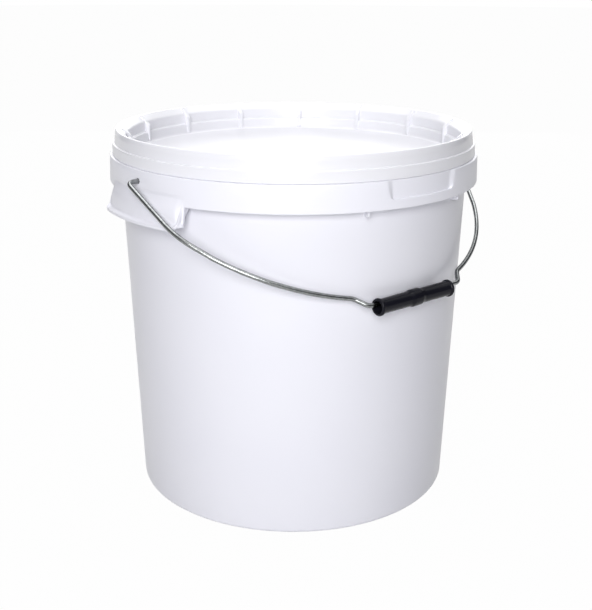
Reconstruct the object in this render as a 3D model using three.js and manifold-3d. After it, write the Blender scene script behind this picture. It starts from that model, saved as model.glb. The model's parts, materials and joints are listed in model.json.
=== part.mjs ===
// A 20 litre moulded pail with a push-on lid and a wire bail that carries a loose grip.
// Millimetres, +Z up. The origin is on the pail's axis, in the plane that its foot ring stands on.
// The bail turns about X and hangs towards -Y. Heights are measured from the foot ring.
import * as THREE from "three";
import { mergeVertices } from "three/addons/utils/BufferGeometryUtils.js";
import Module from "manifold-3d";

const wasm = await Module();
wasm.setup();

// Pail body
const BASE_DIAMETER = 288.6;
const WALL_DRAFT_DEG = 1.93;
const WALL = 2.2;
const FLOOR_THICKNESS = 2.6;
const FOOT_HEIGHT = 3;
const FOOT_WIDTH = 5;
const BASE_CORNER_RADIUS = 6;
const FLOOR_FILLET = 5;
const RIM_HEIGHT = 325.7;
const BEAD_WIDTH = 4.4;
const BEAD_HEIGHT = 5.6;

// Collar: the stiffening skirt that hangs round the pail below the lid
const COLLAR_DIAMETER = 326;
const COLLAR_TOP = 307.3;
const COLLAR_DEPTH = 22.8;
const COLLAR_THICKNESS = 2;
const COLLAR_TAPER = 1.1;
const COLLAR_EDGE = 1;
const RIB_THICKNESS = 1.6;
const COLLAR_RIBS = 24;
const LONG_RIB_DROP = 5.5;
const LONG_RIB_SPREAD = 104;

// Recess in the collar through which the lid's edge is pulled up
const TAB_WIDTH = 70;
const TAB_SILL = 292.3;
const TAB_RECESS = 2.3;

// Ears: two flared shrouds on the collar that hold the bail
const EAR_WIDTH = 110;
const EAR_FACE_WIDTH = 97;
const EAR_CREASE = 291;
const EAR_SHOULDER_DROP = 10;
const EAR_SHOULDER_STEP = 4.8;
const EAR_BOTTOM = 265.5;
const EAR_FACE_TAPER = 0.8;
const EAR_LIP = 2.6;
const EAR_LIP_HEIGHT = 2.4;
const EAR_CORNER_RADIUS = 7;
const EAR_WALL = 2;
const PIVOT_HEIGHT = 298.3;
const PIVOT_CLEARANCE = 0.4;
const BOSS_WALL = 2.6;
const BOSS_DEPTH = 3;

// Lid
const LID_THICKNESS = 2.2;
const LID_WALL = 2;
const LID_GAP = 0.3;
const LID_COLLAR_GAP = 1;
const PLUG_CLEARANCE = 1.6;
const LID_SKIRT_HEIGHT = 12;
const LID_SKIRT_TAPER = 0.5;
const LID_TIER_STEP = 1.7;
const LID_TIER_HEIGHT = 6.4;
const LID_TIER_TAPER = 1.2;
const LID_SHOULDER_WIDTH = 4.4;
const LID_RECESS = 23.6;
const LID_CHAMFER_HEIGHT = 4.6;
const LID_CHAMFER_WIDTH = 2.2;
const LID_LEDGE_DROP = 13.6;
const LID_LEDGE_WIDTH = 4;
const LID_LEDGE_FALL = 1;
const LID_LOWER_TAPER = 2;
const LID_FILLET = 4;
const LID_RIBS = 15;
const LID_RIB_THICKNESS = 3.6;
const LID_RIB_SLOPE = 8.2;
const LID_TURN_DEG = 2.2;
const SNAP_DROP = 7;
const SNAP_HEIGHT = 2.4;
const SNAP_CLEARANCE = 0.4;

// Bail wire and grip
const WIRE_DIAMETER = 4;
const LEG_REACH = 171.5;
const LEG_LENGTH = 68;
const LEG_TAPER = 5.6;
const LEG_BEND = 6;
const BOW_RADIUS = 179;
const BOW_CENTRE_DROP = 2.4;
const CRANK_HALF_SPAN = 61;
const GRIP_SEAT_HALF_LENGTH = 52;
const GRIP_SEAT_DROP = 180.2;
const CRANK_BEND = 4;
const HOOK_INNER_REACH = 156.8;
const GRIP_LENGTH = 81;
const GRIP_DIAMETER = 12.6;
const GRIP_BORE = 10.6;
const GRIP_FLANGE_DIAMETER = 14.6;
const GRIP_FLANGE_WIDTH = 2.4;
const GRIP_BAND_DIAMETER = 14.4;
const GRIP_BAND_WIDTH = 9;
const GRIP_BAND_SLOPE = 3;
const GRIP_SLIDE = -4.4;
const RUNNING_GAP = 0.3;
const GRIP_WALL_GAP = 0.4;

const ROUND_STEPS = 72;
const ARC_STEPS = 4;
const BEAD_STEPS = 6;
const EDGE_STEPS = 3;
const SHOULDER_STEPS = 5;
const HOLE_STEPS = 16;
const GRIP_STEPS = 24;
const WIRE_STEPS = 10;
const BOW_STEPS = 11;
const TILT_STEPS = 20;
const TILT_GUESS_DEG = 60;
const CUT_MARGIN = 20;

const rad = THREE.MathUtils.degToRad;
const wallRadius = (z) => BASE_DIAMETER / 2 + Math.tan(rad(WALL_DRAFT_DEG)) * z;
const collarRadius = COLLAR_DIAMETER / 2;
const collarBottom = COLLAR_TOP - COLLAR_DEPTH;
const lidTop = RIM_HEIGHT + LID_GAP + LID_THICKNESS;
const lidBottom = COLLAR_TOP + LID_COLLAR_GAP;
const beadMid = wallRadius(RIM_HEIGHT - BEAD_HEIGHT) - WALL / 2;
const beadOuter = beadMid + BEAD_WIDTH / 2;
const plugRadius = beadMid - BEAD_WIDTH / 2 - PLUG_CLEARANCE - LID_WALL;
const tierRadius = beadOuter + SNAP_CLEARANCE + LID_WALL + LID_TIER_TAPER;
const skirtRadius = tierRadius + LID_TIER_STEP + LID_SKIRT_TAPER;
const ringInner = plugRadius + LID_CHAMFER_WIDTH;
const ringOuter = tierRadius - LID_TIER_TAPER - LID_SHOULDER_WIDTH;

// Quarter turn of a round corner from one angle to another, as (radius, height) points.
function arc(centreR, centreZ, radius, startDeg, endDeg, steps = ARC_STEPS) {
  return Array.from({ length: steps + 1 }, (_, i) => {
    const a = rad(startDeg + ((endDeg - startDeg) * i) / steps);
    return [centreR + radius * Math.cos(a), centreZ + radius * Math.sin(a)];
  });
}

// A closed three.js geometry as a manifold solid.
function solidOf(geometry) {
  const bare = geometry.index ? geometry.toNonIndexed() : geometry.clone();
  bare.deleteAttribute("normal");
  bare.deleteAttribute("uv");
  const merged = mergeVertices(bare, 1e-4);
  return new wasm.Manifold(
    new wasm.Mesh({
      numProp: 3,
      vertProperties: merged.attributes.position.array,
      triVerts: new Uint32Array(merged.index.array),
    }),
  );
}

// A manifold solid as a three.js geometry with flat normals.
function geometryOf(solid) {
  const mesh = solid.getMesh();
  const geometry = new THREE.BufferGeometry()
    .setAttribute("position", new THREE.BufferAttribute(mesh.vertProperties, 3))
    .setIndex(new THREE.BufferAttribute(mesh.triVerts, 1));
  geometry.computeVertexNormals();
  return geometry;
}

// Solid of revolution about Z from an anticlockwise (radius, height) outline.
function turned(outline, steps = ROUND_STEPS) {
  const points = outline.map(([r, z]) => new THREE.Vector2(Math.max(r, 0), z));
  if (outline[0][0] > 0) points.push(points[0].clone());
  const geometry = new THREE.LatheGeometry(points, steps);
  geometry.rotateX(Math.PI / 2);
  return solidOf(geometry);
}

// A flat outline given by (x, y) points, extruded by depth along +Z.
function slab(points, depth) {
  const shape = new THREE.Shape(points.map(([x, y]) => new THREE.Vector2(x, y)));
  return new THREE.ExtrudeGeometry(shape, { depth, bevelEnabled: false });
}

// A wedge of the plan between two angles about the axis, over the given heights.
function sector(centreDeg, halfDeg, bottom, top) {
  const reach = COLLAR_DIAMETER;
  const ray = (deg) => [reach * Math.cos(rad(deg)), reach * Math.sin(rad(deg))];
  const geometry = slab([[0, 0], ray(centreDeg - halfDeg), ray(centreDeg + halfDeg)], top - bottom);
  return solidOf(geometry.translate(0, 0, bottom));
}

// A radial plate from an (r, z) outline, of the given thickness, at an angle about the axis.
function radialPlate(outline, thickness, angleDeg) {
  const geometry = slab(outline, thickness);
  geometry.translate(0, 0, -thickness / 2).rotateX(Math.PI / 2).rotateZ(rad(angleDeg));
  return solidOf(geometry);
}

const chordDeg = (width, radius) => THREE.MathUtils.radToDeg(2 * Math.asin(width / 2 / radius));

// Base, drafted wall, collar skirt and sealing bead, as one turned section.
function pailShell() {
  const cornerR = wallRadius(BASE_CORNER_RADIUS) - BASE_CORNER_RADIUS;
  const footInner = cornerR - FOOT_WIDTH;
  const flangeBottom = COLLAR_TOP - COLLAR_THICKNESS;
  const skirtInner = collarRadius - COLLAR_THICKNESS;
  const beadBase = RIM_HEIGHT - BEAD_HEIGHT;
  const neck = wallRadius(beadBase);
  const beadR = BEAD_WIDTH / 2;
  const floorTop = FOOT_HEIGHT + FLOOR_THICKNESS;
  const filletR = wallRadius(floorTop + FLOOR_FILLET) - WALL - FLOOR_FILLET;
  const bead = arc(beadMid, RIM_HEIGHT - beadR, beadR, 0, 180, BEAD_STEPS);
  const fillet = arc(filletR, floorTop + FLOOR_FILLET, FLOOR_FILLET, 0, -90);
  return turned([
    [0, FOOT_HEIGHT],
    [footInner - FOOT_HEIGHT / 2, FOOT_HEIGHT],
    [footInner, 0],
    ...arc(cornerR, BASE_CORNER_RADIUS, BASE_CORNER_RADIUS, -90, 0),
    [wallRadius(flangeBottom), flangeBottom],
    [skirtInner, flangeBottom],
    [skirtInner - COLLAR_TAPER, collarBottom],
    [collarRadius - COLLAR_TAPER, collarBottom],
    ...arc(collarRadius - COLLAR_EDGE, COLLAR_TOP - COLLAR_EDGE, COLLAR_EDGE, 0, 90, EDGE_STEPS),
    [wallRadius(COLLAR_TOP), COLLAR_TOP],
    [neck, beadBase - beadR / 2],
    ...bead,
    [neck - WALL, beadBase - beadR / 2],
    ...fillet,
    [0, floorTop],
  ]);
}

// Stiffening ribs in the pocket between the wall and the collar skirt.
function collarRib(angleDeg, bottom, outerR) {
  const inner = wallRadius(bottom) - WALL / 2;
  const top = COLLAR_TOP - COLLAR_THICKNESS / 2;
  return radialPlate(
    [
      [inner, bottom],
      [outerR, bottom],
      [outerR, top],
      [inner, top],
    ],
    RIB_THICKNESS,
    angleDeg,
  );
}

// The ear's outer skin as (radius, height) points from the crease down to the lip.
function earSkin(inset) {
  const shoulderR = collarRadius + EAR_SHOULDER_STEP - inset;
  const faceR = shoulderR + EAR_FACE_TAPER;
  const lipTop = EAR_BOTTOM + EAR_LIP_HEIGHT;
  return [
    [collarRadius - inset, EAR_CREASE],
    [shoulderR, EAR_CREASE - EAR_SHOULDER_DROP],
    [faceR, lipTop + EAR_LIP / 2],
    [faceR + EAR_LIP, lipTop],
    [faceR + EAR_LIP, EAR_BOTTOM],
  ];
}

// Everything inside the ear's outline, inset by a wall thickness on the sides and the face.
function earBlock(inset, bottom, top) {
  const innerR = wallRadius(bottom) - WALL / 2;
  const skin = earSkin(inset);
  const lowest = skin[skin.length - 1][0];
  const ring = turned([
    [innerR, bottom],
    ...(bottom < EAR_BOTTOM ? [[lowest, bottom]] : []),
    ...skin.reverse(),
    [collarRadius - inset, top],
    [innerR, top],
  ]);
  const baseHalf = EAR_WIDTH / 2 - inset;
  const faceHalf = EAR_FACE_WIDTH / 2 - inset;
  const innerX = innerR * Math.cos(rad(chordDeg(EAR_WIDTH, collarRadius) / 2)) - CUT_MARGIN;
  const baseX = Math.sqrt(collarRadius ** 2 - (EAR_WIDTH / 2) ** 2);
  const faceX = baseX + EAR_SHOULDER_STEP + EAR_LIP + EAR_FACE_TAPER;
  const plan = [
    [innerX, -baseHalf],
    [baseX, -baseHalf],
    [faceX, -faceHalf],
    [faceX + CUT_MARGIN, -faceHalf],
    [faceX + CUT_MARGIN, faceHalf],
    [faceX, faceHalf],
    [baseX, baseHalf],
    [innerX, baseHalf],
  ];
  const column = solidOf(slab(plan, top - bottom).translate(0, 0, bottom));
  return ring.intersect(column).intersect(earFront(baseHalf, bottom, top, inset));
}

// The ear's outline seen along the bail's axis: straight sides and round lower corners.
function earFront(half, bottom, top, inset) {
  const r = EAR_CORNER_RADIUS - inset;
  const low = Math.max(bottom, EAR_BOTTOM);
  const corners = [...arc(-half + r, low + r, r, 180, 270), ...arc(half - r, low + r, r, 270, 360)];
  const open = [
    [-half, bottom],
    [half, bottom],
  ];
  const sides = bottom < EAR_BOTTOM ? open : corners;
  const outline = [...sides, [half, top], [-half, top]];
  const geometry = slab(outline, COLLAR_DIAMETER);
  geometry.rotateX(Math.PI / 2).rotateZ(Math.PI / 2);
  return solidOf(geometry);
}

// Cylinder along X between two distances from the pail's axis, at the pivot height.
function pivotCylinder(radius, from, to) {
  const geometry = new THREE.CylinderGeometry(radius, radius, to - from, HOLE_STEPS);
  geometry.rotateZ(Math.PI / 2).translate((from + to) / 2, 0, PIVOT_HEIGHT);
  return solidOf(geometry);
}

// One ear: a shroud open at the bottom, with a boss that takes the hook of the bail.
function ear() {
  const top = COLLAR_TOP - COLLAR_THICKNESS / 2;
  const outer = earBlock(0, EAR_BOTTOM, top);
  const pocketTop = COLLAR_TOP - COLLAR_THICKNESS;
  const keepWall = turned([
    [0, EAR_BOTTOM - CUT_MARGIN],
    [wallRadius(EAR_BOTTOM - CUT_MARGIN), EAR_BOTTOM - CUT_MARGIN],
    [wallRadius(pocketTop), pocketTop],
    [0, pocketTop],
  ]);
  const pocket = earBlock(EAR_WALL, EAR_BOTTOM - CUT_MARGIN, pocketTop).subtract(keepWall);
  const holeR = WIRE_DIAMETER / 2 + PIVOT_CLEARANCE;
  const bossFrom = collarRadius - COLLAR_THICKNESS - BOSS_DEPTH;
  const boss = pivotCylinder(holeR + BOSS_WALL, bossFrom, collarRadius - COLLAR_THICKNESS / 2);
  const hole = pivotCylinder(holeR, bossFrom - RUNNING_GAP, collarRadius + CUT_MARGIN);
  return { outer, pocket, boss, hole };
}

// The recess for the lid's pull edge, centred on -Y: what it cuts away and what it adds behind.
function tabRecess() {
  const half = chordDeg(TAB_WIDTH, collarRadius) / 2;
  const faceR = collarRadius - TAB_RECESS;
  const backR = faceR - COLLAR_THICKNESS;
  const sillBottom = TAB_SILL - COLLAR_THICKNESS;
  const top = COLLAR_TOP + CUT_MARGIN;
  const band = (inner, outer, low, high) =>
    turned([
      [inner, low],
      [outer, low],
      [outer, high],
      [inner, high],
    ]);
  const cut = band(faceR, collarRadius + CUT_MARGIN, TAB_SILL, top).intersect(
    sector(-90, half, TAB_SILL - CUT_MARGIN, top),
  );
  const sideDeg = chordDeg(COLLAR_THICKNESS, collarRadius);
  const wallBand = band(backR, collarRadius - COLLAR_THICKNESS / 2, sillBottom, COLLAR_TOP - COLLAR_EDGE);
  const back = wallBand.intersect(sector(-90, half + sideDeg, sillBottom, COLLAR_TOP));
  return { cut, back };
}

// The whole pail moulding.
function pail() {
  const { outer, pocket, boss, hole } = ear();
  let body = pailShell();
  const pitch = 360 / COLLAR_RIBS;
  const earDeg = chordDeg(EAR_WIDTH, collarRadius) / 2;
  const tabDeg = chordDeg(LONG_RIB_SPREAD, collarRadius) / 2;
  const ribR = collarRadius - COLLAR_THICKNESS - COLLAR_TAPER / 2;
  for (let i = 0; i < COLLAR_RIBS; i++) {
    const angle = (i + 0.5) * pitch;
    const fromEar = Math.abs(((angle + 90) % 180) - 90);
    const fromTab = Math.abs(angle - 270);
    if (fromEar < earDeg + pitch / 4 || fromTab < tabDeg + pitch / 4) continue;
    body = body.add(collarRib(angle, collarBottom + COLLAR_EDGE, ribR));
  }
  for (const side of [-1, 1]) {
    const angle = -90 + side * tabDeg;
    body = body.add(collarRib(angle, collarBottom - LONG_RIB_DROP, wallRadius(collarBottom) + WALL));
    body = body.add(collarRib(angle, collarBottom + COLLAR_EDGE, ribR));
  }
  const tab = tabRecess();
  body = body.add(tab.back).subtract(tab.cut);
  for (const turn of [0, 180]) {
    const place = (part) => part.rotate([0, 0, turn]);
    body = body.add(place(outer)).subtract(place(pocket)).add(place(boss)).subtract(place(hole));
  }
  return body;
}

// Lid section: recessed disc, stepped plug wall, top ring, two-tier skirt and the channel for the rim.
function lidShell() {
  const t = LID_THICKNESS;
  const skirtTop = lidBottom + LID_SKIRT_HEIGHT;
  const tierTop = skirtTop + LID_TIER_HEIGHT;
  const plugR = plugRadius;
  const ledgeZ = lidTop - LID_LEDGE_DROP;
  const lowerR = plugR - LID_LEDGE_WIDTH;
  const discTop = lidTop - LID_RECESS;
  const discR = lowerR - LID_LOWER_TAPER;
  const channelTop = lidTop - t;
  const snapZ = channelTop - SNAP_DROP;
  const innerTierR = beadOuter + SNAP_CLEARANCE;
  return turned([
    [0, discTop - t],
    [discR, discTop - t],
    [lowerR + LID_WALL, ledgeZ - t],
    [plugR + LID_WALL, ledgeZ - t / 2],
    [plugR + LID_WALL, channelTop],
    [innerTierR, channelTop],
    [innerTierR, snapZ],
    [skirtRadius - LID_SKIRT_TAPER - LID_WALL, snapZ - SNAP_HEIGHT],
    [skirtRadius - LID_WALL, lidBottom],
    [skirtRadius, lidBottom],
    [skirtRadius - LID_SKIRT_TAPER, skirtTop - LID_TIER_STEP / 2],
    [skirtRadius - LID_SKIRT_TAPER - LID_TIER_STEP / 2, skirtTop],
    [tierRadius, skirtTop],
    [tierRadius - LID_TIER_TAPER, tierTop],
    ...arc(0, 0, 1, 0, 90, SHOULDER_STEPS).map(([r, z]) => [
      ringOuter + r * LID_SHOULDER_WIDTH,
      tierTop + z * (lidTop - tierTop),
    ]),
    [ringInner, lidTop],
    [plugR, lidTop - LID_CHAMFER_HEIGHT],
    [plugR, ledgeZ],
    [lowerR, ledgeZ - LID_LEDGE_FALL],
    ...arc(discR - LID_FILLET + LID_LOWER_TAPER / 2, discTop + LID_FILLET, LID_FILLET, 0, -90),
    [0, discTop],
  ]);
}

// A gusset across the lid's ledge: sloped top edge, then flush with the lower wall down to the disc.
function lidRib(angleDeg) {
  const backR = plugRadius + LID_WALL / 2;
  const frontR = ringInner - LID_RIB_SLOPE;
  const top = lidTop - LID_CHAMFER_HEIGHT / 4;
  const low = lidTop - LID_RECESS - LID_THICKNESS / 2;
  return radialPlate(
    [
      [frontR, low],
      [backR - LID_LEDGE_WIDTH, low],
      [backR, lidTop - LID_LEDGE_DROP],
      [backR, top - LID_CHAMFER_HEIGHT / 2],
      [ringInner - LID_CHAMFER_WIDTH / 2, top],
      [frontR, top - LID_RIB_SLOPE],
    ],
    LID_RIB_THICKNESS,
    angleDeg,
  );
}

// The whole lid moulding.
function lid() {
  let body = lidShell();
  for (let i = 0; i < LID_RIBS; i++) {
    body = body.add(lidRib(LID_TURN_DEG + (360 / LID_RIBS) * i));
  }
  return body;
}

// A route through given points that keeps a ring at each of them, whatever their spacing.
class WireRoute extends THREE.Curve {
  constructor(points) {
    super();
    this.points = points;
  }
  getUtoTmapping(u) {
    return u;
  }
  getPoint(t, target = new THREE.Vector3()) {
    const at = THREE.MathUtils.clamp(t, 0, 1) * (this.points.length - 1);
    const i = Math.min(Math.floor(at), this.points.length - 2);
    return target.lerpVectors(this.points[i], this.points[i + 1], at - i);
  }
  getTangent(t, target = new THREE.Vector3()) {
    const i = Math.round(t * (this.points.length - 1));
    const here = this.points[i];
    const before = this.points[Math.max(i - 1, 0)];
    const after = this.points[Math.min(i + 1, this.points.length - 1)];
    const arriving = here.clone().sub(before).normalize();
    const leaving = after.clone().sub(here).normalize();
    return target.addVectors(arriving, leaving).normalize();
  }
}

// Rounds the corners of a flat (x, drop) route, each with its own bend radius.
function rounded(corners) {
  const out = [];
  corners.forEach(([x, drop, bend], i) => {
    const here = new THREE.Vector2(x, drop);
    if (!bend) {
      out.push(here);
      return;
    }
    const before = new THREE.Vector2(...corners[i - 1].slice(0, 2)).sub(here).normalize();
    const after = new THREE.Vector2(...corners[i + 1].slice(0, 2)).sub(here).normalize();
    const half = Math.acos(THREE.MathUtils.clamp(before.dot(after), -1, 1)) / 2;
    const centre = before.clone().add(after).normalize().multiplyScalar(bend / Math.sin(half)).add(here);
    const from = before.clone().multiplyScalar(bend / Math.tan(half)).add(here).sub(centre);
    const to = after.clone().multiplyScalar(bend / Math.tan(half)).add(here).sub(centre);
    const sweep = Math.atan2(from.x * to.y - from.y * to.x, from.dot(to));
    for (let k = 0; k <= ARC_STEPS; k++) {
      out.push(from.clone().rotateAround(new THREE.Vector2(), (sweep * k) / ARC_STEPS).add(centre));
    }
  });
  return out;
}

// Half of the bail's centre line, from its hook to the middle of the grip, as (x, drop).
function halfBail() {
  const legFoot = LEG_REACH - LEG_TAPER;
  const angleAt = (x) => Math.acos(x / BOW_RADIUS);
  const bowStart = angleAt(legFoot);
  const bowEnd = angleAt(CRANK_HALF_SPAN);
  const bow = Array.from({ length: BOW_STEPS }, (_, i) => {
    const a = bowStart + ((bowEnd - bowStart) * (i + 1)) / BOW_STEPS;
    return [BOW_RADIUS * Math.cos(a), BOW_CENTRE_DROP + BOW_RADIUS * Math.sin(a), 0];
  });
  bow[BOW_STEPS - 1][2] = CRANK_BEND;
  return [
    [HOOK_INNER_REACH, 0, 0],
    [LEG_REACH, 0, LEG_BEND],
    [legFoot, LEG_LENGTH, 0],
    ...bow,
    [GRIP_SEAT_HALF_LENGTH, GRIP_SEAT_DROP, CRANK_BEND],
    [0, GRIP_SEAT_DROP, 0],
  ];
}

// The bail as it hangs straight down from the pivot axis.
function bail() {
  const half = rounded(halfBail());
  const mirrored = half.slice(0, -1).reverse().map((p) => new THREE.Vector2(-p.x, p.y));
  const points = [...half, ...mirrored].map((p) => new THREE.Vector3(p.x, 0, -p.y));
  const section = new THREE.Shape().absarc(0, 0, WIRE_DIAMETER / 2, 0, 2 * Math.PI);
  const geometry = new THREE.ExtrudeGeometry(section, {
    steps: points.length - 1,
    curveSegments: WIRE_STEPS,
    bevelEnabled: false,
    extrudePath: new WireRoute(points),
  });
  return solidOf(geometry);
}

// The grip: a tube with end flanges and a swelling at the middle, turned about X.
function grip() {
  const half = GRIP_LENGTH / 2;
  const bore = GRIP_BORE / 2;
  const body = GRIP_DIAMETER / 2;
  const flange = GRIP_FLANGE_DIAMETER / 2;
  const band = GRIP_BAND_DIAMETER / 2;
  const bandHalf = GRIP_BAND_WIDTH / 2;
  const edge = (flange - bore) / 3;
  const end = [
    [bore, half],
    [flange - edge, half],
    [flange, half - edge],
    [flange, half - GRIP_FLANGE_WIDTH],
    [body, half - GRIP_FLANGE_WIDTH - edge],
    [body, bandHalf + GRIP_BAND_SLOPE],
    [band, bandHalf],
  ];
  const other = end.map(([r, x]) => [r, -x]);
  const tube = turned([...other, ...[...end].reverse()], GRIP_STEPS);
  return tube.rotate([0, 90, 0]);
}

// How far the grip's own axis lies below the wire it hangs on.
const gripSag = GRIP_BORE / 2 - WIRE_DIAMETER / 2 - RUNNING_GAP;
const gripDrop = GRIP_SEAT_DROP + gripSag;

// Angle of the bail from straight down at which the grip's swelling comes to lie against the wall.
function restTilt() {
  let tilt = rad(TILT_GUESS_DEG);
  for (let i = 0; i < TILT_STEPS; i++) {
    const height = PIVOT_HEIGHT - gripDrop * Math.cos(tilt);
    const away = wallRadius(height) + GRIP_BAND_DIAMETER / 2 + GRIP_WALL_GAP;
    tilt = Math.asin(away / gripDrop);
  }
  return tilt;
}

const plastic = new THREE.MeshStandardMaterial({ color: 0xf2f1f8, roughness: 0.32, metalness: 0 });
const lidPlastic = new THREE.MeshStandardMaterial({ color: 0xf8f8fc, roughness: 0.22, metalness: 0 });
const steel = new THREE.MeshStandardMaterial({ color: 0xa9aaa8, roughness: 0.28, metalness: 1 });
const black = new THREE.MeshStandardMaterial({ color: 0x0c0c12, roughness: 0.3, metalness: 0 });

function named(name, solid, material) {
  const mesh = new THREE.Mesh(geometryOf(solid), material);
  mesh.name = name;
  return mesh;
}

const hung = new THREE.Group();
hung.position.set(0, 0, PIVOT_HEIGHT);
hung.rotation.x = -restTilt();
const gripMesh = named("grip", grip(), black);
gripMesh.position.set(GRIP_SLIDE, 0, -gripDrop);
hung.add(named("bail", bail(), steel), gripMesh);

const root = new THREE.Group();
root.name = "lidded_pail";
root.add(named("pail", pail(), plastic), named("lid", lid(), lidPlastic), hung);

export default root;
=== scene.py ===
"""A 20 litre moulded pail with its push-on lid, wire bail and loose grip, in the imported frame.

The classes of the pail, lid, bail and grip hold real sizes in millimetres: radii from the pail's
axis, heights from the plane that the foot ring stands on. The studio's sizes are in metres. Meshes
are drawn in metres in the frame's own axes, +Z up and +X along the bail's pivot axis.
"""

import json
import logging
import math
from dataclasses import dataclass
from enum import Enum
from typing import Callable, Iterable, Sequence

import bmesh
import bpy
from mathutils import Matrix, Vector


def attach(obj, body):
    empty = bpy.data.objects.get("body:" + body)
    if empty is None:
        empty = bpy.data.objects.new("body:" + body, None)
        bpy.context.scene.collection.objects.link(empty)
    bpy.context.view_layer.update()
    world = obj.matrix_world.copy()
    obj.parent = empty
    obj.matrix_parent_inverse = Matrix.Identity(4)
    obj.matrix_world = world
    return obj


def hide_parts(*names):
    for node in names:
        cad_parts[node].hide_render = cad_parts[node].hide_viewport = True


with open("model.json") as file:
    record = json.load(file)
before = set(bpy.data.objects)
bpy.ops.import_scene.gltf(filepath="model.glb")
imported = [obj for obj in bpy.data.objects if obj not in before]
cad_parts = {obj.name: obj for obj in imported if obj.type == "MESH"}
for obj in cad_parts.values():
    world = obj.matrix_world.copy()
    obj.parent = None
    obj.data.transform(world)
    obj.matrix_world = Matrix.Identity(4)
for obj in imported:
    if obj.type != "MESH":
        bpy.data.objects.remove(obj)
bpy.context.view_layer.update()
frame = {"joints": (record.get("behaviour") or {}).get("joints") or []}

MM = 0.001
WELD = 2e-6
ROUND_STEPS = 256
ROD_STEPS = 40
GATE_STEPS = 48
LONGEST_BEND = 0.48  # of a side, what the rounding of one corner may take
SOFT_LIMIT = 40.0  # degrees, above which an edge stays sharp
SHARP_LIMIT = 35.0
log = logging.getLogger("lidded_pail")

Flat = tuple[float, float]
Place = tuple[float, float, float]
Colour = tuple[float, float, float]
Piece = bpy.types.Object
Finish = bpy.types.Material
Node = bpy.types.Node
Tree = bpy.types.NodeTree
Socket = bpy.types.NodeSocket
Given = bpy.types.NodeOutputs


# Sections and plain drawing helpers


@dataclass(frozen=True)
class Corner:
    """A corner of a drawn outline: its place, and how far from it the rounding starts."""

    across: float
    up: float
    bend: float = 0.3

    def towards(self, other: "Corner", share: float, rise: float) -> "Corner":
        """Returns a corner part of the way to another.

        Args:
            other: The corner at share 1.
            share: How far across and in bend it has moved.
            rise: How far in height it has moved.
        """
        return Corner(
            self.across + (other.across - self.across) * share,
            self.up + (other.up - self.up) * rise,
            self.bend + (other.bend - self.bend) * share,
        )


def rounded(corners: Sequence[Corner], per_corner: int = 4) -> list[Flat]:
    """Rounds an outline's inner corners and keeps its two ends.

    Args:
        corners: The outline's corners in order.
        per_corner: Points that stand for each rounded corner.

    Returns:
        The outline as (across, up) points, always as many for as many corners.
    """
    points: list[Flat] = []
    for index, corner in enumerate(corners):
        here = Vector((corner.across, corner.up))
        if index in (0, len(corners) - 1) or corner.bend <= 0:
            points.append((here.x, here.y))
            continue
        ends = []
        for neighbour in (corners[index - 1], corners[index + 1]):
            way = Vector((neighbour.across, neighbour.up)) - here
            reach = min(corner.bend, way.length * LONGEST_BEND)
            ends.append(here + way.normalized() * reach)
        for step in range(per_corner):
            t = step / (per_corner - 1)
            at = ends[0] * (1 - t) ** 2 + here * 2 * t * (1 - t) + ends[1] * t * t
            points.append((at.x, at.y))
    return points


def deselect() -> None:
    """Leaves nothing selected, so that an operator acts only on what is picked next."""
    bpy.ops.object.select_all(action="DESELECT")


def pick_up(*pieces: Piece) -> None:
    """Selects pieces and makes the first one active."""
    deselect()
    for piece in pieces:
        piece.select_set(True)
    bpy.context.view_layer.objects.active = pieces[0]


def edit(piece: Piece) -> None:
    """Takes a piece into edit mode with all of it selected."""
    pick_up(piece)
    bpy.ops.object.mode_set(mode="EDIT")
    bpy.ops.mesh.select_all(action="SELECT")


def leave_edit() -> None:
    """Goes back to object mode."""
    bpy.ops.object.mode_set(mode="OBJECT")


def outlined(name: str, outline: Sequence[Flat]) -> Piece:
    """Adds a ring of edges and lays it out as a closed outline in the XZ plane.

    Args:
        name: The piece's name.
        outline: The (across, up) points in millimetres.

    Returns:
        The new piece, in object mode.
    """
    deselect()
    bpy.ops.mesh.primitive_circle_add(vertices=len(outline), fill_type="NOTHING")
    piece = bpy.context.active_object
    piece.name = name
    piece.data.name = name
    for vertex, (across, up) in zip(piece.data.vertices, outline):
        vertex.co = (across * MM, 0.0, up * MM)
    return piece


def spun(name: str, outline: Sequence[Flat], steps: int = ROUND_STEPS) -> Piece:
    """Spins a closed outline right round Z.

    Args:
        name: The piece's name.
        outline: The (radius, height) points in millimetres.
        steps: Columns round the axis.

    Returns:
        The closed piece with its faces outwards.
    """
    piece = outlined(name, outline)
    edit(piece)
    bpy.ops.mesh.spin(steps=steps, angle=math.tau, center=(0, 0, 0), axis=(0, 0, 1))
    bpy.ops.mesh.select_all(action="SELECT")
    bpy.ops.mesh.remove_doubles(threshold=WELD)
    bpy.ops.mesh.delete_loose()
    bpy.ops.mesh.select_all(action="SELECT")
    bpy.ops.mesh.normals_make_consistent(inside=False)
    leave_edit()
    return piece


def plated(name: str, outline: Sequence[Flat], thickness: float, edge: float) -> Piece:
    """Extrudes a flat outline into a plate with softened edges, centred on the XZ plane.

    Args:
        name: The piece's name.
        outline: The (across, up) points in millimetres.
        thickness: The plate's thickness in millimetres.
        edge: How far the edges are bevelled, in millimetres.

    Returns:
        The closed plate.
    """
    piece = outlined(name, outline)
    edit(piece)
    bpy.ops.mesh.edge_face_add()
    bpy.ops.mesh.extrude_region_move(TRANSFORM_OT_translate={"value": (0, thickness * MM, 0)})
    bpy.ops.mesh.select_all(action="SELECT")
    bpy.ops.transform.translate(value=(0, -thickness * MM / 2, 0))
    bpy.ops.mesh.normals_make_consistent(inside=False)
    bpy.ops.mesh.bevel(offset=edge * MM, segments=2, affect="EDGES", clamp_overlap=True)
    leave_edit()
    return piece


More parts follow.
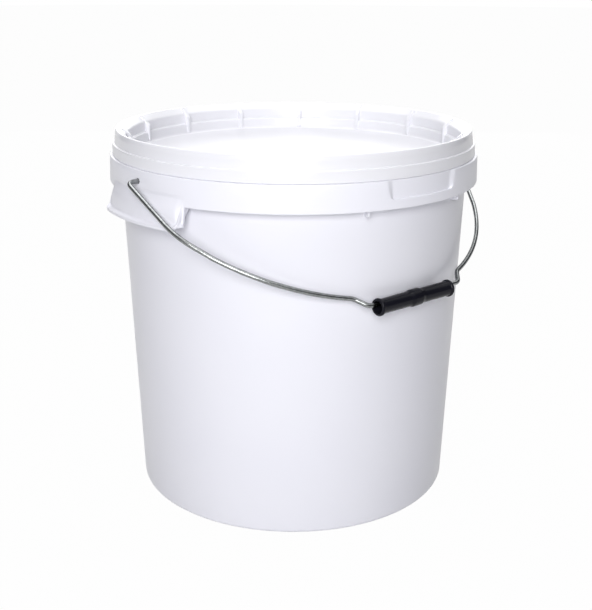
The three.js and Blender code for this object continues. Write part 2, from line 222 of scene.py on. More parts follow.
def settle(piece: Piece) -> Piece:
    """Puts a piece's place into its mesh and its object at the origin."""
    pick_up(piece)
    bpy.ops.object.transform_apply(location=True, rotation=True, scale=True)
    return piece


def smoothed(piece: Piece, limit: float = SOFT_LIMIT) -> Piece:
    """Shades a piece smooth apart from edges sharper than a limit in degrees."""
    pick_up(piece)
    bpy.ops.object.shade_smooth_by_angle(angle=math.radians(limit))
    return piece


def joined(name: str, pieces: Sequence[Piece]) -> Piece:
    """Joins pieces into one object.

    Args:
        name: The joined piece's name.
        pieces: The pieces, all in place.

    Returns:
        The one piece that is left.
    """
    pick_up(*pieces)
    if len(pieces) > 1:
        bpy.ops.object.join()
    whole = bpy.context.active_object
    whole.name = name
    whole.data.name = name
    return settle(whole)


def copied_round(name: str, piece: Piece, bearings: Iterable[float]) -> Piece:
    """Copies a piece to each bearing about Z and joins the copies.

    Args:
        name: The joined piece's name.
        piece: The piece as it stands at bearing 0; it becomes the first copy.
        bearings: Degrees about Z.

    Returns:
        The joined copies.
    """
    copies = []
    for bearing in bearings:
        pick_up(piece)
        bpy.ops.object.duplicate(linked=False)
        copy = bpy.context.active_object
        copy.rotation_euler.z = math.radians(bearing)
        copies.append(settle(copy))
    bpy.data.objects.remove(piece)
    return joined(name, copies)


def cut_out(piece: Piece, cutter: Piece) -> None:
    """Cuts a cutter's shape out of a piece and throws the cutter away."""
    pick_up(piece)
    cut = piece.modifiers.new("cut", "BOOLEAN")
    cut.operation = "DIFFERENCE"
    cut.solver = "EXACT"
    cut.object = cutter
    bpy.ops.object.modifier_apply(modifier=cut.name)
    bpy.data.objects.remove(cutter)


# Finishes


class Builder:
    """Wires the nodes of one material or node group."""

    def __init__(self, tree: Tree) -> None:
        """Takes the tree that the nodes go into."""
        self.tree = tree

    def node(self, kind: str, settings: dict | None = None, **inputs: object) -> Node:
        """Adds a node.

        Args:
            kind: The node's type name without its ShaderNode prefix.
            settings: Properties of the node itself.
            inputs: Values or output sockets for its inputs, spaces in their names as underscores.

        Returns:
            The node.
        """
        made = self.tree.nodes.new("ShaderNode" + kind)
        for key, value in (settings or {}).items():
            setattr(made, key, value)
        for key, value in inputs.items():
            self.feed(made, key.replace("_", " "), value)
        return made

    def feed(self, node: Node, name: str, value: object) -> None:
        """Sets one input of a node, or links an output socket to it."""
        socket = node.inputs[name]
        if isinstance(value, Socket):
            self.tree.links.new(value, socket)
        else:
            socket.default_value = value

    def maths(self, operation: str, first: object, second: object = 0.0) -> Socket:
        """Returns the output of a Math node over two values or sockets."""
        made = self.tree.nodes.new("ShaderNodeMath")
        made.operation = operation
        for socket, value in zip(made.inputs, (first, second)):
            if isinstance(value, Socket):
                self.tree.links.new(value, socket)
            else:
                socket.default_value = value
        return made.outputs[0]

    def spread(self, value: Socket, span: Flat, to: Flat = (0.0, 1.0)) -> Socket:
        """Maps a value from one range to another, clamped.

        Args:
            value: The value's socket.
            span: The values that give the two ends.
            to: The two ends.

        Returns:
            The mapped value's socket.
        """
        ends = dict(zip(("From_Min", "From_Max", "To_Min", "To_Max"), (*span, *to)))
        return self.node("MapRange", {"clamp": True}, Value=value, **ends).outputs["Result"]

    def mixed(self, share: Socket, first: Colour, second: object) -> Socket:
        """Returns a colour between two by a share; the second may be a colour or a socket."""
        made = self.tree.nodes.new("ShaderNodeMix")
        made.data_type = "RGBA"
        self.tree.links.new(share, made.inputs[0])
        made.inputs[6].default_value = (*first, 1.0)
        if isinstance(second, Socket):
            self.tree.links.new(second, made.inputs[7])
        else:
            made.inputs[7].default_value = (*second, 1.0)
        return made.outputs[2]


def group_of(name: str, inputs: Sequence[str], outputs: Sequence[str], fill: Callable) -> Tree:
    """Builds a shared effect as a node group.

    Args:
        name: The group's name.
        inputs: Names of the numbers that a material sets.
        outputs: Names of the values that it puts out.
        fill: Called with the builder, the inputs by name, and the output node.

    Returns:
        The group's tree.
    """
    tree = bpy.data.node_groups.new(name, "ShaderNodeTree")
    tree.interface.new_socket("Vector", in_out="INPUT", socket_type="NodeSocketVector")
    for key in inputs:
        tree.interface.new_socket(key, in_out="INPUT", socket_type="NodeSocketFloat")
    for key in outputs:
        tree.interface.new_socket(key, in_out="OUTPUT", socket_type="NodeSocketFloat")
    entry = tree.nodes.new("NodeGroupInput")
    leaving = tree.nodes.new("NodeGroupOutput")
    fill(Builder(tree), entry.outputs, leaving)
    return tree


GRAIN_SHARE = 0.05
SCRATCH_TILTS = (0.35, -0.8)
SCRATCH_SPAN = (0.0, 0.0035)
SCRATCH_STRETCH = (1.0, 1.0, 0.22)
PATCH_SCALE = 9.0
PATCH_SPAN = (0.52, 0.68)


def fill_mould_skin(build: Builder, given: Given, leaving: Node) -> None:
    """Draws the skin that a polished mould leaves: fine grain, slow ripple and clouded gloss."""
    fine = build.node("TexNoise", Vector=given["Vector"], Scale=given["Grain"], Detail=3.0)
    slow = build.node("TexNoise", Vector=given["Vector"], Scale=given["Ripple"], Detail=1.5)
    cloud = build.node("TexNoise", Vector=given["Vector"], Scale=given["Cloud"], Detail=1.0)
    grain = build.maths("MULTIPLY", fine.outputs["Fac"], GRAIN_SHARE)
    height = build.maths("ADD", grain, slow.outputs["Fac"])
    build.tree.links.new(height, leaving.inputs["Height"])
    build.tree.links.new(cloud.outputs["Fac"], leaving.inputs["Clouding"])


def fill_handling(build: Builder, given: Given, leaving: Node) -> None:
    """Draws the marks of handling: thin crossing scratches that only show in some patches."""
    bent = build.node("TexNoise", Vector=given["Vector"], Scale=PATCH_SCALE, Detail=1.0)
    lines = []
    for tilt in SCRATCH_TILTS:
        turned = build.node("Mapping", Vector=given["Vector"])
        turned.inputs["Rotation"].default_value = (tilt, tilt / 2, tilt)
        turned.inputs["Scale"].default_value = SCRATCH_STRETCH
        cells = build.node(
            "TexVoronoi",
            {"feature": "DISTANCE_TO_EDGE"},
            Vector=turned.outputs["Vector"],
            Scale=given["Scratches"],
        )
        lines.append(build.spread(cells.outputs["Distance"], SCRATCH_SPAN, (1.0, 0.0)))
    either = build.maths("MAXIMUM", *lines)
    patch = build.spread(bent.outputs["Fac"], PATCH_SPAN)
    build.tree.links.new(build.maths("MULTIPLY", either, patch), leaving.inputs["Mask"])


class Effects:
    """The shared effects, each built once."""

    def __init__(self) -> None:
        """Builds the node groups that the finishes use."""
        mould_scales = ("Grain", "Ripple", "Cloud")
        self.skin = group_of("mould_skin", mould_scales, ("Height", "Clouding"), fill_mould_skin)
        self.handling = group_of("handling_marks", ("Scratches",), ("Mask",), fill_handling)

    @staticmethod
    def place(build: Builder, tree: Tree, vector: Socket, **values: float) -> Node:
        """Puts a shared effect into a material.

        Args:
            build: The material's builder.
            tree: The effect.
            vector: The coordinates that it reads.
            values: The effect's own numbers.

        Returns:
            The group node.
        """
        return build.node("Group", {"node_tree": tree}, Vector=vector, **values)


@dataclass(frozen=True)
class Moulded:
    """Moulded plastic: colour, the tone that clouds it, and the skin that the mould leaves."""

    name: str
    colour: Colour
    cloud: Colour
    roughness: Flat = (0.26, 0.36)
    ripple: float = 14.0
    relief: float = 0.00025
    shine: float = 0.5
    grain: float = 1100.0
    clouds: float = 11.0
    cloud_span: Flat = (0.15, 0.85)
    refraction: float = 1.49
    bump: float = 0.5

    def material(self, effects: Effects) -> Finish:
        """Builds the material.

        Args:
            effects: The shared effects.

        Returns:
            The finished material.
        """
        made, build, shader = blank_material(self.name)
        place = build.node("TexCoord").outputs["Object"]
        scales = {"Grain": self.grain, "Ripple": self.ripple, "Cloud": self.clouds}
        skin = effects.place(build, effects.skin, place, **scales)
        clouding = build.spread(skin.outputs["Clouding"], self.cloud_span)
        build.feed(shader, "Base Color", build.mixed(clouding, self.colour, self.cloud))
        gloss = build.spread(skin.outputs["Clouding"], self.cloud_span, self.roughness)
        build.feed(shader, "Roughness", gloss)
        height = skin.outputs["Height"]
        bump = build.node("Bump", Height=height, Distance=self.relief, Strength=self.bump)
        build.feed(shader, "Normal", bump.outputs["Normal"])
        shader.inputs["IOR"].default_value = self.refraction
        shader.inputs["Specular IOR Level"].default_value = self.shine
        return made


@dataclass(frozen=True)
class DrawnWire:
    """Galvanised wire: spangled zinc with the die's lines running along it."""

    name: str = "bail_wire_zinc"
    bright: Colour = (0.30, 0.31, 0.31)
    dull: Colour = (0.19, 0.20, 0.20)
    stretch: Place = (14.0, 5.0, 1.0)
    line_scale: float = 4.0
    line_span: Flat = (0.3, 0.7)
    relief: float = 0.00004
    bump: float = 0.6
    roughness: Flat = (0.15, 0.28)
    spangle_scale: float = 420.0
    spangle_span: Flat = (0.35, 0.68)
    scratches: float = 90.0
    scuff: float = 0.2

    def material(self, effects: Effects) -> Finish:
        """Builds the material.

        Args:
            effects: The shared effects.

        Returns:
            The finished material.
        """
        made, build, shader = blank_material(self.name)
        along = build.node("UVMap", {"uv_map": "along"}).outputs["UV"]
        stretched = build.node("Mapping", Vector=along)
        stretched.inputs["Scale"].default_value = self.stretch
        drawn = stretched.outputs["Vector"]
        lines = build.node("TexNoise", Vector=drawn, Scale=self.line_scale, Detail=5.0)
        place = build.node("TexCoord").outputs["Object"]
        spangle = build.node("TexNoise", Vector=place, Scale=self.spangle_scale, Detail=3.0)
        marks = effects.place(build, effects.handling, place, Scratches=self.scratches)
        tone = build.spread(spangle.outputs["Fac"], self.spangle_span)
        build.feed(shader, "Base Color", build.mixed(tone, self.bright, self.dull))
        rough = build.spread(lines.outputs["Fac"], self.line_span, self.roughness)
        scuffed = build.maths("MULTIPLY", marks.outputs["Mask"], self.scuff)
        build.feed(shader, "Roughness", build.maths("ADD", rough, scuffed))
        height = lines.outputs["Fac"]
        bump = build.node("Bump", Height=height, Distance=self.relief, Strength=self.bump)
        build.feed(shader, "Normal", bump.outputs["Normal"])
        shader.inputs["Metallic"].default_value = 1.0
        return made


def blank_material(name: str) -> tuple[Finish, Builder, Node]:
    """Starts a material.

    Args:
        name: The material's name.

    Returns:
        The material, a builder for its nodes and its shader node.
    """
    made = bpy.data.materials.new(name)
    made.use_nodes = True
    return made, Builder(made.node_tree), made.node_tree.nodes["Principled BSDF"]


def dress(piece: Piece, material: Finish, body: str) -> Piece:
    """Gives a piece its finish in its one material slot, and its body.

    Args:
        piece: The finished piece.
        material: Its material.
        body: The CAD body that carries it.

    Returns:
        The piece.
    """
    piece.data.materials.clear()
    piece.data.materials.append(material)
    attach(piece, body)
    log.info("%s: %d faces, rides on %s", piece.name, len(piece.data.polygons), body)
    return piece


# The pail


def share_between(value: float, full: float, none: float) -> float:
    """Returns 1 up to full, 0 from none on, and an even slope between them."""
    return min(1.0, max(0.0, (none - value) / (none - full)))


def off_axis(bearing: float, axis: float) -> float:
    """Returns how many degrees a bearing lies from an axis bearing."""
    return abs((bearing - axis + 180) % 360 - 180)


@dataclass
class PailBody:
    """The pail's moulding: wall and base, collar with ears and pull recess, ribs and bosses."""

    base_radius: float = 144.3
    draft: float = 1.93
    wall: float = 2.2
    foot_height: float = 3.0
    foot_inner: float = 133.5
    foot_slope: float = 1.5
    floor_top: float = 5.6
    floor_corner: float = 5.0
    base_corner: float = 3.2
    rim: float = 323.4
    bead_half: float = 1.9
    bead_base: float = 318.0
    bead_step: float = 0.6
    collar_radius: float = 163.0
    collar_top: float = 307.3
    collar_bottom: float = 284.5
    collar_flare: float = 0.8
    skin: float = 2.0
    skirt_rows: tuple[float, ...] = (296.5, 293.6, 291.0, 288.8, 287.2, 285.9)
    back_rows: tuple[float, ...] = (286.2, 288.0, 290.0, 292.5)
    section_points: int = 3
    ear_half_width: float = 52.5
    ear_face_half: float = 46.5
    ear_lip_half: float = 51.5
    cheek_foot: Flat = (157.0, 284.0)
    cheek_drop: float = 1.0
    cheek_rise: float = 4.0
    cheek_edge: float = 0.35
    cheek_insets: tuple[float, float, float, float] = (1.2, 2.2, 2.6, 5.4)
    ear_crease: float = 291.0
    crease_depth: float = 0.25
    back_crease: Flat = (0.2, 0.6)
    ear_shoulder: Flat = (167.8, 281.0)
    ear_face: Flat = (168.5, 269.6)
    ear_lip: Flat = (172.2, 267.9)
    lip_step: float = 0.3
    ear_bottom: float = 265.5
    ear_corner: float = 3.0
    tab_half_width: float = 35.0
    tab_sill: float = 292.3
    tab_recess: float = 1.7
    tab_slant: float = 0.7
    tab_ramp: float = 0.5
    tab_back: Flat = (3.0, 2.0)
    pivot_height: float = 298.3
    hole_radius: float = 2.4
    boss_wall: float = 2.6
    boss_reach: Flat = (158.0, 161.6)
    drill_reach: Flat = (156.0, 176.0)
    rib_count: int = 24
    rib_thickness: float = 1.6
    rib_chamfer: Flat = (0.8, 1.2)
    rib_edge: float = 0.3
    rib_lift: float = 1.0
    long_rib_half_spread: float = 52.0
    long_rib_drop: float = 5.5
    long_rib_reach: float = 160.6
    collar_columns: int = 720
    corner_points: int = 6
    gate_tip: Flat = (3.2, 2.3)
    gate_root: Flat = (5.5, 3.4)

    def wall_radius(self, height: float) -> float:
        """Returns the wall's outer radius at a height."""
        return self.base_radius + math.tan(math.radians(self.draft)) * height

    def degrees(self, half_width: float, radius: float) -> float:
        """Returns the half angle under which a half width shows at a radius."""
        return math.degrees(math.asin(half_width / radius))

    def shell(self) -> Piece:
        """Draws wall, base, foot ring and sealing bead as one spun moulding."""
        neck = self.wall_radius(self.bead_base)
        middle = neck - self.wall / 2
        outer = middle + self.bead_half
        inner = middle - self.bead_half
        under_bead = self.bead_base - self.bead_half / 2
        inner_floor = self.wall_radius(self.floor_top) - self.wall
        outline = rounded(
            [
                Corner(0, self.foot_height),
                Corner(self.foot_inner - self.foot_slope, self.foot_height, 1.2),
                Corner(self.foot_inner, 0, 0.8),
                Corner(self.base_radius, 0, self.base_corner),
                Corner(neck, under_bead, 1.2),
                Corner(outer, self.bead_base + self.bead_step, 0.9),
                Corner(outer, self.rim, self.bead_half),
                Corner(inner, self.rim, self.bead_half),
                Corner(inner, self.bead_base + self.bead_step, 0.9),
                Corner(neck - self.wall, under_bead, 1.2),
                Corner(inner_floor, self.floor_top, self.floor_corner),
                Corner(0, self.floor_top),
            ],
            self.corner_points,
        )
        return smoothed(spun("pail_wall", outline))

    def plain_section(self) -> list[Corner]:
        """Returns the collar's section where neither ear nor recess is."""
        outer, top, low = self.collar_radius, self.collar_top, self.collar_bottom
        inner = outer - self.skin
        in_wall = self.wall_radius(top) - self.wall / 2
        slope = self.collar_flare / (top - low)

        def skirt(radius: float, height: float, bend: float = 0.3) -> Corner:
            """Returns a corner on the flaring skirt."""
            return Corner(radius + slope * (top - height), height, bend)

        return [
            Corner(in_wall, top),
            Corner(outer, top, 1.1),
            *[skirt(outer, height) for height in self.skirt_rows],
            skirt(outer, low, 0.7),
            skirt(inner, low, 0.7),
            *[skirt(inner, height) for height in self.back_rows],
            Corner(inner, top - self.skin, 1.0),
            Corner(in_wall, top - self.skin),
        ]

    def ear_section(self, raised: float) -> list[Corner]:
        """Returns the collar's section where the ear flares out of it.

        Args:
            raised: How far the lip is raised by the rounding of the ear's corner.
        """
        plain = self.plain_section()
        lip, lip_height = self.ear_lip
        face, face_height = self.ear_face
        low = self.ear_bottom + raised
        skin = self.skin
        crease_back, crease_rise = self.back_crease
        return [
            *plain[:4],
            Corner(self.collar_radius - self.crease_depth, self.ear_crease, 0.7),
            Corner(*self.ear_shoulder, 4.5),
            Corner(face, face_height + raised, 1.0),
            Corner(lip, lip_height + raised, 0.8),
            Corner(lip, low, 0.7),
            Corner(lip - skin, low, 0.6),
            Corner(lip - skin, lip_height - self.lip_step + raised, 0.6),
            Corner(face - skin, face_height + raised, 1.0),
            Corner(self.ear_shoulder[0] - skin, self.ear_shoulder[1], 3.5),
            Corner(self.collar_radius - skin - crease_back, self.ear_crease + crease_rise, 1.2),
            *plain[-2:],
        ]

    def recess_section(self) -> list[Corner]:
        """Returns the collar's section where the recess for the lid's pull edge is."""
        plain = self.plain_section()
        face = self.collar_radius - self.tab_recess
        back = face - self.skin
        return [
            plain[0],
            Corner(face, self.collar_top, 0.8),
            Corner(face, self.tab_sill, 0.7),
            Corner(plain[3].across, self.tab_sill, 0.5),
            *plain[4:12],
            Corner(plain[12].across, self.tab_sill - self.tab_back[0], 0.8),
            Corner(back, self.tab_sill - self.tab_back[1], 0.8),
            Corner(back, self.collar_top - self.skin, 0.8),
            plain[-1],
        ]

    def column(self, bearing: float) -> list[Flat]:
        """Returns the collar's rounded section at a bearing.

        Args:
            bearing: Degrees about Z, 0 at one ear.
        """
        section = self.plain_section()
        from_ear = min(off_axis(bearing, 0), off_axis(bearing, 180))
        flare_end = self.degrees(self.ear_half_width, self.collar_radius)
        if from_ear < flare_end:
            sideways = math.radians(from_ear) * self.ear_lip[0]
            past = max(0.0, sideways - (self.ear_lip_half - self.ear_corner))
            left = max(0.0, self.ear_corner**2 - min(past, self.ear_corner) ** 2)
            ear = self.ear_section(self.ear_corner - math.sqrt(left))
            pairs = zip(section, ear)
            section = [a.towards(b, self.flare_at(from_ear, b.up), 1.0) for a, b in pairs]
        past_end = off_axis(bearing, -90) - self.degrees(self.tab_half_width, self.collar_radius)
        if past_end < 2 * self.tab_slant:
            pairs = zip(section, self.recess_section())
            shares = [self.recess_at(past_end, a.up) for a in section]
            section = [a.towards(b, share, share) for (a, b), share in zip(pairs, shares)]
        return rounded(section, self.section_points)

    def flare_at(self, from_ear: float, height: float) -> float:
        """Returns how far the ear is drawn out; its sides spread towards the lip.

        Args:
            from_ear: Degrees from the ear's middle.
            height: Height on the ear, in millimetres.
        """
        drop = 1 - share_between(height, self.ear_crease, self.ear_bottom)
        half = self.ear_face_half + (self.ear_lip_half - self.ear_face_half) * drop
        full = self.degrees(half, self.ear_lip[0])
        return share_between(from_ear, full, self.degrees(self.ear_half_width, self.collar_radius))

    def recess_at(self, past_end: float, height: float) -> float:
        """Returns how far the recess is let in; its sides lean outwards upwards.

        Args:
            past_end: Degrees past the recess's mean end.
            height: Height on the collar, in millimetres.
        """
        middle = (self.collar_top + self.tab_sill) / 2
        lean = self.tab_slant * (height - middle) / (self.collar_top - middle)
        return share_between(past_end, lean - self.tab_ramp, lean + self.tab_ramp)

    def collar(self) -> Piece:
        """Spins the collar's plain section, then moves its columns to the ears and the recess."""
        plain = rounded(self.plain_section(), self.section_points)
        piece = spun("pail_collar", plain, self.collar_columns)
        columns: dict[int, list[Flat]] = {}
        step = 360 / self.collar_columns
        for vertex in piece.data.vertices:
            radius, height = math.hypot(vertex.co.x, vertex.co.y) / MM, vertex.co.z / MM
            turn = math.degrees(math.atan2(vertex.co.y, vertex.co.x))
            key = round(turn / step)
            if key not in columns:
                columns[key] = self.column(turn)
            at = min(range(len(plain)), key=lambda i: math.dist(plain[i], (radius, height)))
            across, up = columns[key][at]
            angle = math.radians(turn)
            vertex.co = (across * math.cos(angle) * MM, across * math.sin(angle) * MM, up * MM)
        for side in (-1, 1):
            cut_out(piece, self.rod("pivot_drill", self.hole_radius, self.drill_reach, side))
        return smoothed(piece, SHARP_LIMIT)

    def rod(self, name: str, radius: float, reach: Flat, side: int) -> Piece:
        """Returns a rod along X at the pivot height, on one side of the pail."""
        deselect()
        bpy.ops.mesh.primitive_cylinder_add(
            vertices=ROD_STEPS,
            radius=radius * MM,
            depth=(reach[1] - reach[0]) * MM,
            location=(side * sum(reach) / 2 * MM, 0, self.pivot_height * MM),
            rotation=(0, math.pi / 2, 0),
        )
        rod = bpy.context.active_object
        rod.name = name
        return settle(rod)

    def boss(self, side: int) -> Piece:
        """Returns the bearing boss behind one ear's hole."""
        boss = self.rod("boss", self.hole_radius + self.boss_wall, self.boss_reach, side)
        cut_out(boss, self.rod("boss_drill", self.hole_radius, self.drill_reach, side))
        return boss

    def ear_cheek(self) -> Piece:
        """Returns the web that closes one side of an ear, cut away towards the lip."""
        plane = self.ear_lip_half - self.skin / 2
        top = self.collar_top - self.cheek_drop
        at_collar, at_shoulder, at_lip, behind_lip = self.cheek_insets
        foot = self.ear_bottom + self.ear_corner

        def across(radius: float) -> float:
            """Returns where a radius meets the cheek's plane."""
            return math.sqrt(radius**2 - plane**2)

        in_wall = across(self.wall_radius(self.collar_top))
        outline = rounded(
            [
                Corner(in_wall, top),
                Corner(across(self.collar_radius) - at_collar, top, 0.3),
                Corner(across(self.collar_radius) - at_collar, self.ear_crease, 1.0),
                Corner(across(self.ear_shoulder[0]) - at_shoulder, self.ear_shoulder[1], 3.0),
                Corner(across(self.ear_lip[0]) - at_lip, foot, 1.0),
                Corner(across(self.ear_lip[0]) - behind_lip, foot, 1.0),
                Corner(across(self.cheek_foot[0]), self.cheek_foot[1], 2.0),
                Corner(in_wall, self.cheek_foot[1] + self.cheek_rise, 0.3),
                Corner(in_wall, top - self.cheek_drop),
            ]
        )
        plate = plated("cheek", outline, self.skin, self.cheek_edge)
        plate.location.y = plane * MM
        return settle(plate)

    def rib_plate(self, low: float, reach: float) -> Piece:
        """Returns a stiffening rib of the collar at bearing 0.

        Args:
            low: The rib's lower end.
            reach: The radius that it reaches out to.
        """
        inner = self.wall_radius(low) - self.wall / 2
        top = self.collar_top - self.skin / 2
        inwards, upwards = self.rib_chamfer
        front = [(reach - inwards, low), (reach, low + upwards), (reach, top)]
        outline = [(inner, low), *front, (inner, top)]
        return plated("rib", outline, self.rib_thickness, self.rib_edge)

    def ribs(self) -> Piece:
        """Draws all ribs between wall and collar."""
        reach = self.collar_radius - self.skin / 2
        low = self.collar_bottom + self.rib_lift
        pitch = 360 / self.rib_count
        ear = self.degrees(self.ear_half_width, self.collar_radius) + pitch / 4
        spread = self.degrees(self.long_rib_half_spread, self.collar_radius)
        every = [(i + 0.5) * pitch for i in range(self.rib_count)]
        bearings = [
            at
            for at in every
            if min(off_axis(at, 0), off_axis(at, 180)) >= ear
            and off_axis(at, -90) >= spread + pitch / 4
        ]
        sides = (-90 - spread, -90 + spread)
        short = copied_round("short_ribs", self.rib_plate(low, reach), [*bearings, *sides])
        foot = self.collar_bottom - self.long_rib_drop
        long = copied_round("long_ribs", self.rib_plate(foot, self.long_rib_reach), sides)
        return joined("pail_ribs", [short, long])

    def gate(self) -> Piece:
        """Draws the trimmed gate under the middle of the base."""
        tip, root = Corner(*self.gate_tip, 0.5), Corner(*self.gate_root)
        outline = rounded([Corner(0, tip.up), tip, root, Corner(0, root.up)])
        return smoothed(spun("pail_gate", outline, GATE_STEPS))

    def build(self, material: Finish) -> None:
        """Makes the pail's pieces and dresses them.

        Args:
            material: The pail's plastic.
        """
        cheeks = copied_round("cheeks", self.ear_cheek(), (0, 180))
        mirror = cheeks.copy()
        mirror.data = cheeks.data.copy()
        bpy.context.collection.objects.link(mirror)
        mirror.scale.y = -1
        settle(mirror)
        edit(mirror)
        bpy.ops.mesh.normals_make_consistent(inside=False)
        leave_edit()
        fittings = [cheeks, mirror, self.boss(-1), self.boss(1)]
        inside = smoothed(joined("pail_ear_fittings", fittings), SHARP_LIMIT)
        wall = self.shell()
        for piece in (wall, self.collar(), smoothed(self.ribs(), SHARP_LIMIT), inside, self.gate()):
            dress(piece, material, "pail")
        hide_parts("pail")


# The lid


@dataclass
class Lid:
    """The lid's moulding: disc, plug wall with gussets, top ring, two-tier skirt, rim channel."""

    top: float = 328.8
    bottom: float = 307.4
    disc: float = 304.6
    ledge: float = 314.6
    ledge_fall: float = 0.6
    thickness: float = 2.0
    wall: float = 1.8
    disc_radius: float = 144.4
    lower_radius: float = 146.0
    plug_radius: float = 148.2
    plug_top: float = 323.5
    crest: Flat = (155.2, 157.0)
    shoulder: Flat = (158.0, 324.9)
    channel_radius: float = 156.7
    channel_top: float = 325.4
    tier_radius: float = 158.7
    skirt_top: float = 317.2
    skirt_radius: Flat = (160.5, 160.9)
    snap_height: float = 319.4
    snap_depth: float = 3.2
    gusset_count: int = 15
    gusset_thickness: float = 3.4
    gusset_front: float = 143.8
    gusset_bend: float = 320.0
    gusset_crest: Flat = (151.8, 328.3)
    gusset_hold: Flat = (0.4, 0.8)
    gusset_foot: float = 0.6
    gusset_rise: float = 1.0
    gusset_edge: float = 0.5
    gate_radius: Flat = (6.0, 4.2)
    gate_heights: Flat = (-1.0, 0.35)
    corner_points: int = 5

    def shell(self) -> Piece:
        """Draws the lid's whole section as one spun moulding."""
        under = self.disc - self.thickness
        plug_outer = self.plug_radius + self.wall
        crest_in, crest_out = self.crest
        skirt_high, skirt_low = self.skirt_radius
        outline = rounded(
            [
                Corner(0, under),
                Corner(self.disc_radius + self.wall, under, 3.2),
                Corner(self.lower_radius + self.wall, self.ledge - self.thickness, 1.4),
                Corner(plug_outer, self.ledge - self.thickness / 2, 1.0),
                Corner(plug_outer, self.plug_top - self.wall / 2, 1.0),
                Corner(crest_in - self.wall / 2, self.channel_top, 1.2),
                Corner(self.channel_radius, self.channel_top, 0.8),
                Corner(self.channel_radius, self.snap_height, 0.6),
                Corner(skirt_high - self.wall, self.snap_height - self.snap_depth, 0.8),
                Corner(skirt_low - self.wall, self.bottom, 0.5),
                Corner(skirt_low, self.bottom, 0.7),
                Corner(skirt_high, self.skirt_top, 0.8),
                Corner(self.tier_radius, self.skirt_top, 0.5),
                Corner(*self.shoulder, 1.4),
                Corner(crest_out, self.top, 0.9),
                Corner(crest_in, self.top, 0.7),
                Corner(self.plug_radius, self.plug_top, 1.8),
                Corner(self.plug_radius, self.ledge, 0.9),
                Corner(self.lower_radius, self.ledge - self.ledge_fall, 1.0),
                Corner(self.disc_radius, self.disc, 3.0),
                Corner(0, self.disc),
            ],
            self.corner_points,
        )
        return smoothed(spun("lid_moulding", outline))

    def gussets(self) -> Piece:
        """Draws the gussets that stand across the ledge, from the crest down to the disc."""
        back = self.plug_radius + self.wall / 2
        low = self.disc - self.thickness / 2
        crest, top = self.gusset_crest
        sideways, down = self.gusset_hold
        outline = rounded(
            [
                Corner(self.gusset_front, low),
                Corner(self.lower_radius + self.gusset_foot, low, 0.2),
                Corner(back, self.ledge, 0.2),
                Corner(back, self.plug_top, 0.2),
                Corner(self.crest[0] + sideways, top - down, 0.2),
                Corner(self.crest[0] - sideways, top, 0.2),
                Corner(crest, top, 0.8),
                Corner(self.gusset_front, self.gusset_bend, 1.6),
                Corner(self.gusset_front, low + self.gusset_rise),
            ]
        )
        plate = plated("gusset", outline, self.gusset_thickness, self.gusset_edge)
        bearings = [360 / self.gusset_count * i for i in range(self.gusset_count)]
        return smoothed(copied_round("lid_gussets", plate, bearings), SHARP_LIMIT)

    def gate(self) -> Piece:
        """Draws the low gate mark in the middle of the disc."""
        low, high = (self.disc + height for height in self.gate_heights)
        wide, narrow = self.gate_radius
        corners = [Corner(0, low), Corner(wide, low), Corner(narrow, high, 0.4), Corner(0, high)]
        return smoothed(spun("lid_gate", rounded(corners), GATE_STEPS))

    def build(self, material: Finish) -> None:
        """Makes the lid's pieces and dresses them.

        Args:
            material: The lid's plastic.
        """
        shell = self.shell()
        for piece in (shell, self.gussets(), self.gate()):
            dress(piece, material, "lid")
        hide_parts("lid")


# The bail and its grip


